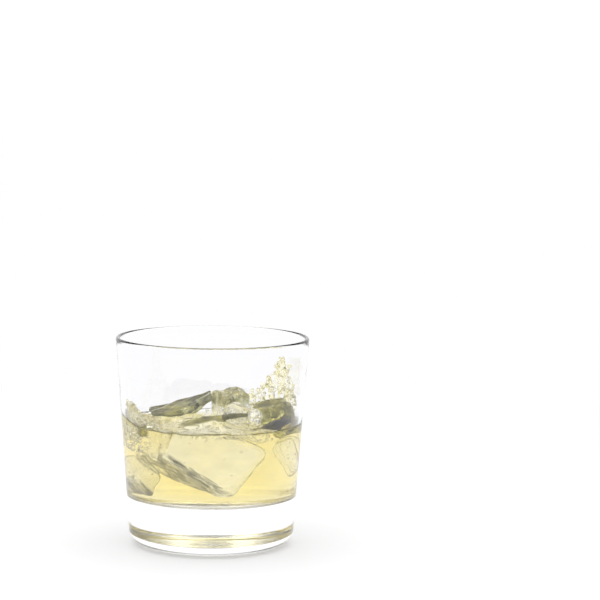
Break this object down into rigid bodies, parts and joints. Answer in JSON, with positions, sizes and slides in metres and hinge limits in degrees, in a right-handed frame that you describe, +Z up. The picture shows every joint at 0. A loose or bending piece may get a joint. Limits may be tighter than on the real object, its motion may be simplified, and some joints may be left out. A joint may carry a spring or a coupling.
{
  "type": "margarita cocktail",
  "caption": "Low tumbler with a thick clear base, part filled with a pale yellow drink over ice, its surface thrown up the side in a swell and a splash.",
  "frame": {"origin": "middle of the foot, on the plane that the glass stands on", "axes": "+Z up along the axis of the glass; the splash stands at +X and +Y, the swell at -X, and -Y faces the viewer"},
  "size_m": [0.0868, 0.0868, 0.094],
  "materials": {
    "glass": "clear polished soda-lime glass",
    "drink": "clear pale lemon-yellow liquid",
    "ice": "wet, partly clouded ice"
  },
  "bodies": {
    "root": {"glass": "glass", "drink": "drink", "ice_middle": "ice", "ice_front": "ice", "ice_right": "ice", "ice_slab": "ice"}
  },
  "joints": []
}
